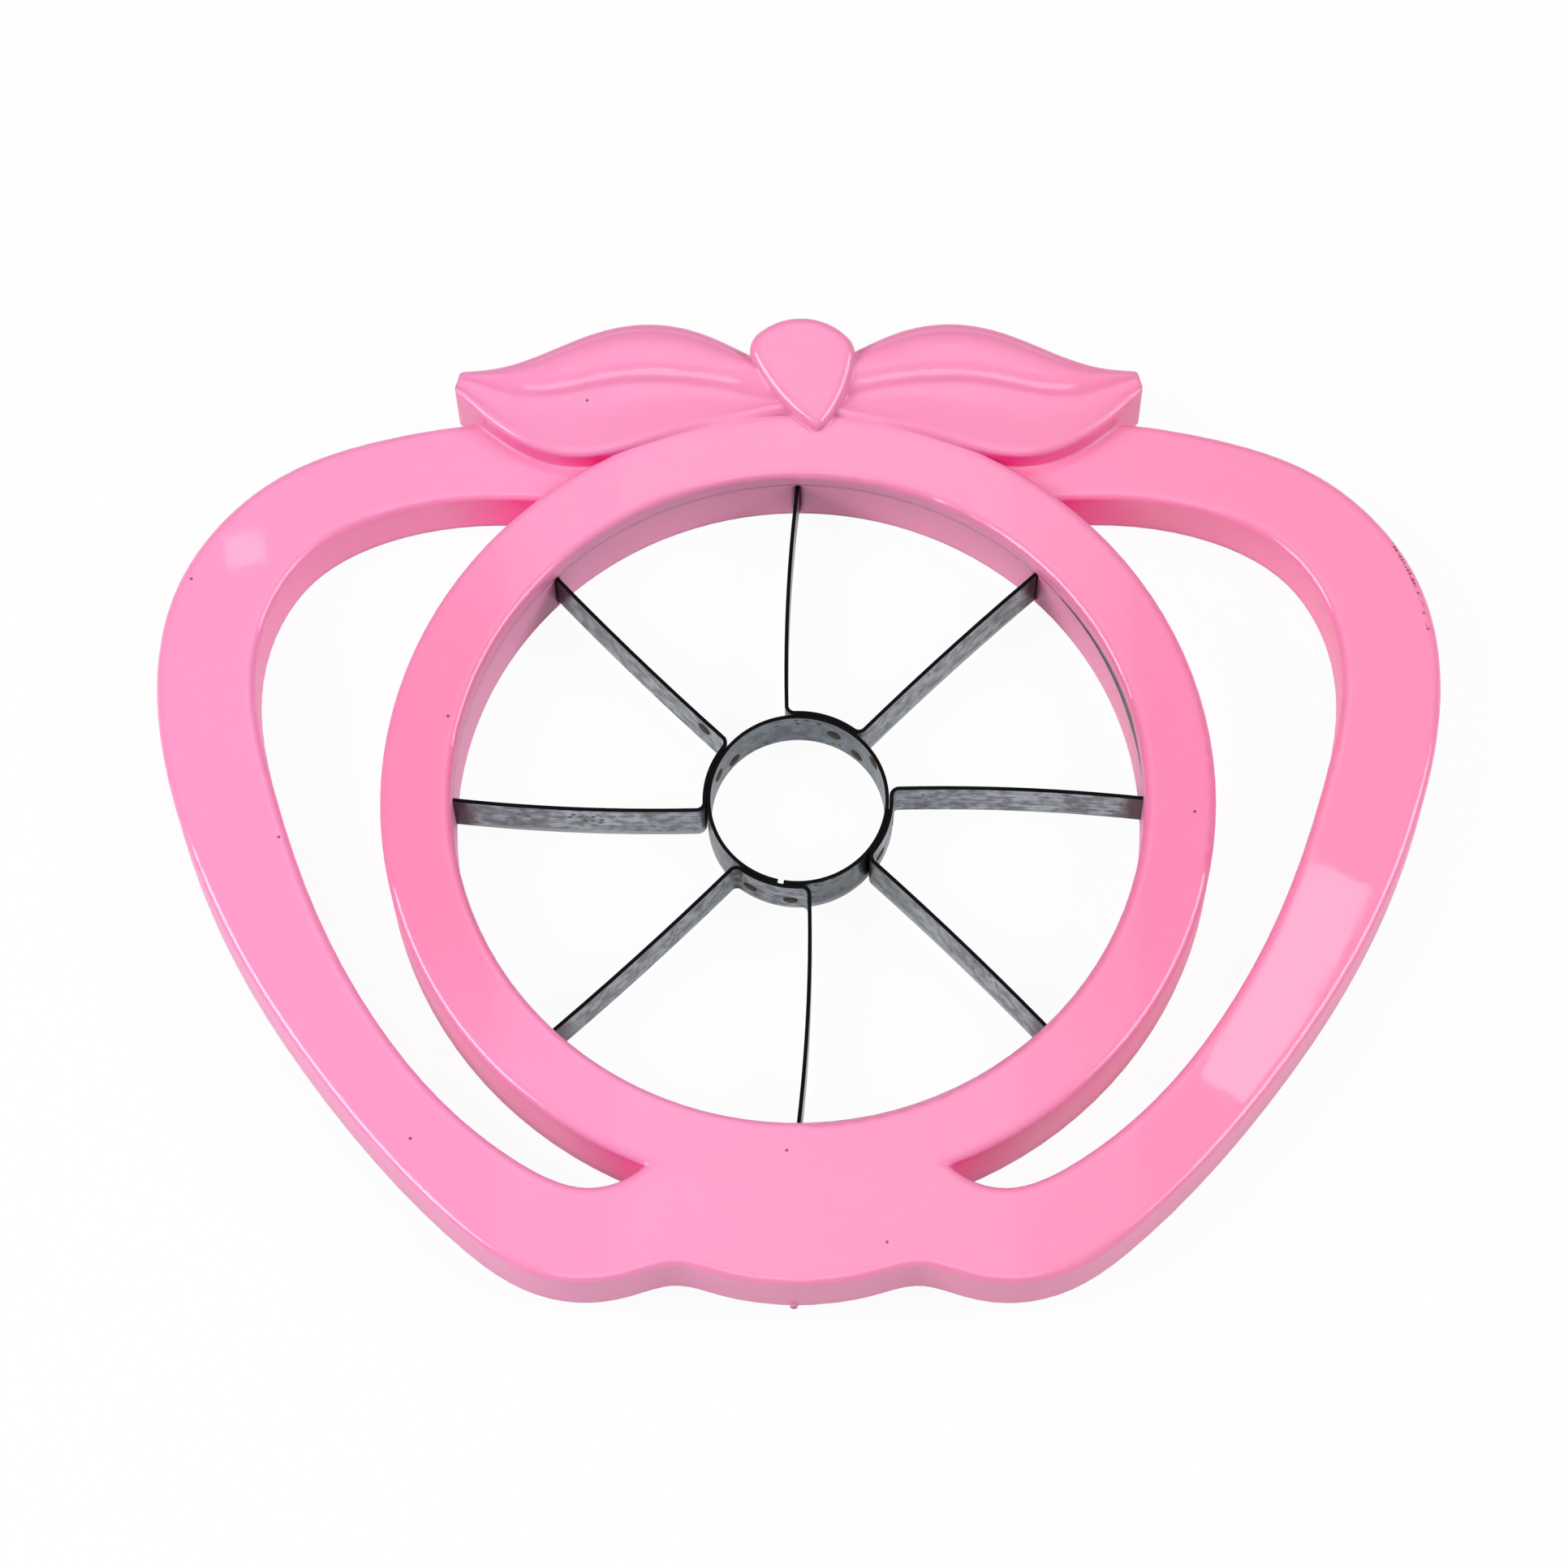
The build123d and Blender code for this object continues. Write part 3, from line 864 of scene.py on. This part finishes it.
@dataclass
class BladeCage:
    """The core ring and the four blade strips, with the spot welds that join them.

    Attributes:
        strips: names of the strips.
        strip_mm: thickness of the steel strip.
        bevel_mm: height of the ground band.
        core_look: what sets the steel of the core apart.
        outer_welds: angle and height of the welds seen outside on the first strip.
        inner_welds: angle and height of the welds seen inside, behind the first strip.
        rim_weld: angle and height of one more weld inside, near the top of the core.
        leg_weld_mm: place near a burn on the leg of a strip.
        weld_radius_mm: radius of a weld's crater.
        weld_depth_mm: thickness of a weld.
        weld_sides: sides of a weld.
        weld_insets: width and rise of each step of the crater, as shares of radius and thickness.
        weld_smooth: angle in degrees up to which its edges are shaded smooth.
    """

    strips: tuple[str, ...] = ("back", "left", "front", "right")
    strip_mm: float = 0.5
    bevel_mm: float = 1.0
    core_look: dict[str, str | float] = field(
        default_factory=lambda: {"bright": "#7C868F", "pit_share": 0.48}
    )
    outer_welds: tuple[Place, ...] = ((60.0, 4.9), (85.5, 4.4))
    inner_welds: tuple[Place, ...] = ((47.5, 3.2), (65.5, 5.4))
    rim_weld: Place = (30.0, 7.4)
    leg_weld_mm: Point = (-13.1, 10.1, 6.4)
    weld_radius_mm: float = 1.0
    weld_depth_mm: float = 0.12
    weld_sides: int = 20
    weld_insets: tuple[Span, ...] = ((0.22, 0.5), (0.18, -0.3), (0.2, -0.6))
    weld_smooth: float = 60.0

    def weld(self) -> bpy.types.Object:
        """Model one weld lying flat: a low disc with a raised lip round a sunken crater.

        Returns:
            The disc, with its face towards +Z.
        """
        radius, depth = self.weld_radius_mm * MM, self.weld_depth_mm * MM
        deselect_all()
        bpy.ops.mesh.primitive_cylinder_add(vertices=self.weld_sides, radius=radius, depth=depth)
        disc = bpy.context.object
        bpy.ops.object.mode_set(mode="EDIT")
        for width, rise in self.weld_insets:
            select_end(disc, Vector((0, 0, 1)))
            bpy.ops.mesh.inset(thickness=radius * width, depth=depth * rise)
            bpy.ops.mesh.select_all(action="DESELECT")
        bpy.ops.object.mode_set(mode="OBJECT")
        bpy.ops.object.shade_smooth_by_angle(angle=math.radians(self.weld_smooth))
        return disc

    def weld_places(self, side: WeldSide) -> list[Matrix]:
        """Places of the welds on one side of the core ring.

        Args:
            side: outside, on the strips, or inside, on the ring.

        Returns:
            One matrix for each weld, with Z out of the surface.
        """
        low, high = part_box("core_ring")
        radius = (high.x - low.x) / 2 + side.value * self.strip_mm * MM
        spots = self.outer_welds if side is WeldSide.OUTSIDE else self.inner_welds
        turns = [index * 360 / len(self.strips) for index in range(len(self.strips))]
        spread = [(angle + turn, height) for turn in turns for angle, height in spots]
        if side is WeldSide.INSIDE:
            spread.append(self.rim_weld)
        places = []
        for angle, height in spread:
            turn = math.radians(angle)
            out = Vector((math.cos(turn), math.sin(turn), 0))
            aim = (out * side.value).to_track_quat("Z", "Y").to_matrix().to_4x4()
            places.append(Matrix.Translation(out * radius + Vector((0, 0, height * MM))) @ aim)
        return places

    def leg_place(self) -> Matrix:
        """Place of the burn on the leg of the strip that lies nearest to it.

        Returns:
            Matrix of the weld, with Z out of the strip.
        """
        spot = Vector(self.leg_weld_mm) * MM
        found = []
        for name in self.strips:
            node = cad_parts[f"blade_strip_{name}"]
            hit = node.closest_point_on_mesh(node.matrix_world.inverted() @ spot)
            place = node.matrix_world @ hit[1]
            out = node.matrix_world.to_3x3() @ hit[2]
            found.append(((place - spot).length, place, out))
        _, place, out = min(found, key=lambda strip: strip[0])
        return Matrix.Translation(place) @ out.to_track_quat("Z", "Y").to_matrix().to_4x4()

    def welds(self) -> bpy.types.Object:
        """Copy the weld to every place and join the copies.

        Returns:
            All spot welds as one piece.
        """
        first = self.weld()
        places = [place for side in WeldSide for place in self.weld_places(side)]
        copies = []
        for place in (*places, self.leg_place()):
            copy = first.copy()
            copy.data = first.data.copy()
            bpy.context.collection.objects.link(copy)
            copy.matrix_world = place
            copies.append(copy)
        bpy.data.objects.remove(first)
        deselect_all()
        for copy in copies:
            copy.select_set(True)
        bpy.context.view_layer.objects.active = copies[0]
        bpy.ops.object.join()
        bpy.ops.object.transform_apply(location=True, rotation=True, scale=True)
        return bpy.context.object

    def build(self) -> None:
        """Dress the steel and add the welds."""
        low, high = (corner.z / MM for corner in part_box("blade_strip_back"))
        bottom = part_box("core_ring")[0].z / MM
        band = self.bevel_mm
        steel = RolledSteel("rolled_stainless_strip", top_mm=high, ground_mm=low + band).material()
        for name in self.strips:
            dress_node(f"blade_strip_{name}", steel)
        core = RolledSteel(
            "rolled_stainless_core", top_mm=high, ground_mm=bottom + band, **self.core_look
        )
        dress_node("core_ring", core.material())
        scorched = ScorchedWeld("scorched_spot_weld").material()
        finish_piece(self.welds(), "spot_welds", scorched)


@dataclass(frozen=True)
class Softbox:
    """One rectangular softbox.

    Attributes:
        name: name of the lamp.
        place_mm: where it hangs.
        aim_mm: the point that it faces.
        size_mm: width and height of its face.
        level: brightness of its face, where 1 is white.
        turn: turn of the face in its own plane, in degrees.
    """

    name: str
    place_mm: Point
    aim_mm: Point
    size_mm: Place
    level: float
    turn: float = 0.0

    def hang(self) -> None:
        """Add the lamp."""
        lamp = bpy.data.lights.new(self.name, "AREA")
        lamp.shape = "RECTANGLE"
        lamp.size, lamp.size_y = (side * MM for side in self.size_mm)
        lamp.energy = self.level * math.pi * lamp.size * lamp.size_y
        holder = bpy.data.objects.new(self.name, lamp)
        bpy.context.scene.collection.objects.link(holder)
        place, aim = Vector(self.place_mm) * MM, Vector(self.aim_mm) * MM
        facing = (place - aim).to_track_quat("Z", "Y").to_matrix().to_4x4()
        turned = Matrix.Rotation(math.radians(self.turn), 4, "Z")
        holder.matrix_world = Matrix.Translation(place) @ facing @ turned


@dataclass
class Studio:
    """White sweep, softboxes and the camera of the photograph.

    Attributes:
        elevation: height of the camera above the horizon, in degrees.
        azimuth: turn of the camera to the right of the front, in degrees.
        roll: turn of the picture, in degrees.
        distance_mm: from the camera to the point that it looks at.
        look_at_mm: that point, at the top of the ring.
        focal_px: focal length in pixels of the photograph.
        image_px: width of the photograph.
        sensor_mm: width of the sensor.
        clip_mm: nearest distance that the camera sees.
        floor_mm: side of the sweep.
        paper_seen: colour of the sweep as the camera sees it.
        paper_bounce: colour of the sweep for the light that it throws back.
        shadow_share: share of the sweep's look that its shadow darkens.
        mirrored_share: strength of the white sweep in reflections.
        mirrored_sky: least strength of the dome in reflections.
        dome: strength of the dome.
        glow: strength of the bright patch in the dome.
        glow_side: direction of that patch.
        glow_reach: cosines of the angles from that direction at which it starts and is full.
        softboxes: side boxes as key light, a front and a top box, two overhead strips for the back
            of the ring, and two cards for the glare patches on the grips.
    """

    elevation: float = 68.31
    azimuth: float = 1.33
    roll: float = -1.25
    distance_mm: float = 658.5
    look_at_mm: Point = (-1.79, 0.84, 12.0)
    focal_px: float = 6249.6
    image_px: float = 1932.0
    sensor_mm: float = 36.0
    clip_mm: float = 10.0
    floor_mm: float = 2400.0
    paper_seen: str = "#F4F4F4"
    paper_bounce: str = "#EEEEEE"
    shadow_share: float = 0.06
    mirrored_share: float = 0.45
    mirrored_sky: float = 0.32
    dome: float = 0.08
    glow: float = 1.0
    glow_side: Point = (0.0, 0.643, 0.766)
    glow_reach: Span = (0.91, 1.0)
    softboxes: list[Softbox] = field(default_factory=lambda: [
        Softbox("top_softbox", (0, 250, 1200), (0, 0, 10), (1500, 1000), 0.36),
        Softbox("left_softbox", (-670, -130, 600), (0, 0, 10), (560, 400), 8.0),
        Softbox("right_softbox", (685, -20, 600), (0, 0, 10), (560, 400), 6.2),
        Softbox("front_softbox", (0, -430, 1080), (0, 0, 10), (560, 420), 2.6),
        Softbox("overhead_wide", (0, 350, 1190), (0, 350, 10), (240, 640), 0.5),
        Softbox("overhead_slim", (0, 350, 1180), (0, 350, 10), (150, 580), 0.45),
        Softbox("handle_card", (134, 280, 743), (64, -25, 11), (19.5, 70), 2.9, turn=-15),
        Softbox("shoulder_card", (-165, 405, 715), (-75, 37, 9), (11, 9), 2.2),
    ])

    def mirrored(self, tree: Tree, path: bpy.types.Node, strength: float) -> Socket:
        """Strength of the white background for rays off metal or through glass.

        Args:
            tree: node tree of the sweep or the dome.
            path: its Light Path node.
            strength: how strongly such a ray sees the background, where 1 is white.

        Returns:
            Output socket of the strength, 0 for all other rays.
        """
        rays = {0: path.outputs["Is Glossy Ray"], 1: path.outputs["Is Transmission Ray"]}
        either = add_node(tree, "ShaderNodeMath", rays, operation="MAXIMUM").outputs[0]
        level = {0: either, 1: strength}
        return add_node(tree, "ShaderNodeMath", level, operation="MULTIPLY").outputs[0]

    def floor(self) -> None:
        """Lay a pale sweep that shows white to the camera and keeps a light shadow."""
        deselect_all()
        bpy.ops.mesh.primitive_plane_add(size=self.floor_mm * MM)
        sweep = bpy.context.object
        sweep.name = "pale_floor"
        # Matt white paper: an even white without any shine, on which only a faint shadow shows
        made = bpy.data.materials.new("matt_white_paper")
        made.use_nodes = True
        tree = made.node_tree
        tree.nodes.clear()
        path = add_node(tree, "ShaderNodeLightPath")
        seen = path.outputs["Is Camera Ray"]
        reflected = self.mirrored(tree, path, self.mirrored_share)
        direct = {0: seen, 1: 1 - self.shadow_share, 2: reflected}
        share = add_node(tree, "ShaderNodeMath", direct, operation="MULTIPLY_ADD").outputs[0]
        tones = {FACTOR: seen, UNDER: linear(self.paper_bounce), OVER: linear(self.paper_seen)}
        tone = add_node(tree, "ShaderNodeMix", tones, data_type="RGBA").outputs[BLEND]
        paper = add_node(tree, "ShaderNodeBsdfDiffuse", {"Color": tone}).outputs[0]
        white = add_node(tree, "ShaderNodeEmission", {"Strength": 1.0}).outputs[0]
        mixed = add_node(tree, "ShaderNodeMixShader", {0: share, 1: paper, 2: white}).outputs[0]
        add_node(tree, "ShaderNodeOutputMaterial", {"Surface": mixed})
        sweep.data.materials.append(made)

    def world(self) -> None:
        """Light the object by a dim dome with a bright patch, which shows white to the camera."""
        world = bpy.data.worlds.new("white_dome")
        bpy.context.scene.world = world
        world.use_nodes = True
        tree = world.node_tree
        tree.nodes.clear()
        aim = add_node(tree, "ShaderNodeTexCoord").outputs["Generated"]
        towards = {0: aim, 1: self.glow_side}
        turn = add_node(tree, "ShaderNodeVectorMath", towards, operation="DOT_PRODUCT")
        start, end = self.glow_reach
        patch = {"From Min": start, "From Max": end, "To Min": self.dome, "To Max": self.glow}
        lobe = {"Value": turn.outputs["Value"], **patch}
        light = add_node(tree, "ShaderNodeMapRange", lobe).outputs[0]
        path = add_node(tree, "ShaderNodeLightPath")
        most = {0: light, 1: self.mirrored(tree, path, self.mirrored_sky)}
        glossy = add_node(tree, "ShaderNodeMath", most, operation="MAXIMUM").outputs[0]
        shown = {"Value": path.outputs["Is Camera Ray"], "To Min": glossy, "To Max": 1.0}
        level = add_node(tree, "ShaderNodeMapRange", shown).outputs[0]
        shine = add_node(tree, "ShaderNodeBackground", {"Strength": level}).outputs[0]
        add_node(tree, "ShaderNodeOutputWorld", {"Surface": shine})

    def camera(self) -> None:
        """Set the camera where the photograph was taken."""
        angles = (self.elevation, self.azimuth, self.roll)
        tilt, turn, roll = (math.radians(angle) for angle in angles)
        front = Vector((math.sin(turn), -math.cos(turn), 0))
        back = math.cos(tilt) * front + Vector((0, 0, math.sin(tilt)))
        level = Vector((math.cos(turn), math.sin(turn), 0))
        upright = back.cross(level)
        right = math.cos(roll) * level + math.sin(roll) * upright
        up = math.cos(roll) * upright - math.sin(roll) * level
        lens = bpy.data.cameras.new("photo_camera")
        lens.sensor_width = self.sensor_mm
        lens.lens = self.focal_px / self.image_px * self.sensor_mm
        lens.clip_start = self.clip_mm * MM
        holder = bpy.data.objects.new("photo_camera", lens)
        bpy.context.scene.collection.objects.link(holder)
        pose = Matrix((right, up, back)).transposed().to_4x4()
        place = Vector(self.look_at_mm) * MM + back * self.distance_mm * MM
        holder.matrix_world = Matrix.Translation(place) @ pose
        bpy.context.scene.camera = holder

    def build(self) -> None:
        """Set up floor, light and camera."""
        bpy.context.scene.view_settings.view_transform = "Standard"
        self.floor()
        self.world()
        for softbox in self.softboxes:
            softbox.hang()
        self.camera()


def main() -> None:
    """Build the looks of the slicer."""
    logging.basicConfig(level=logging.INFO)
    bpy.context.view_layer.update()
    FrameMoulding().build()
    BladeCage().build()
    Studio().build()


if __name__ == "__main__":
    main()
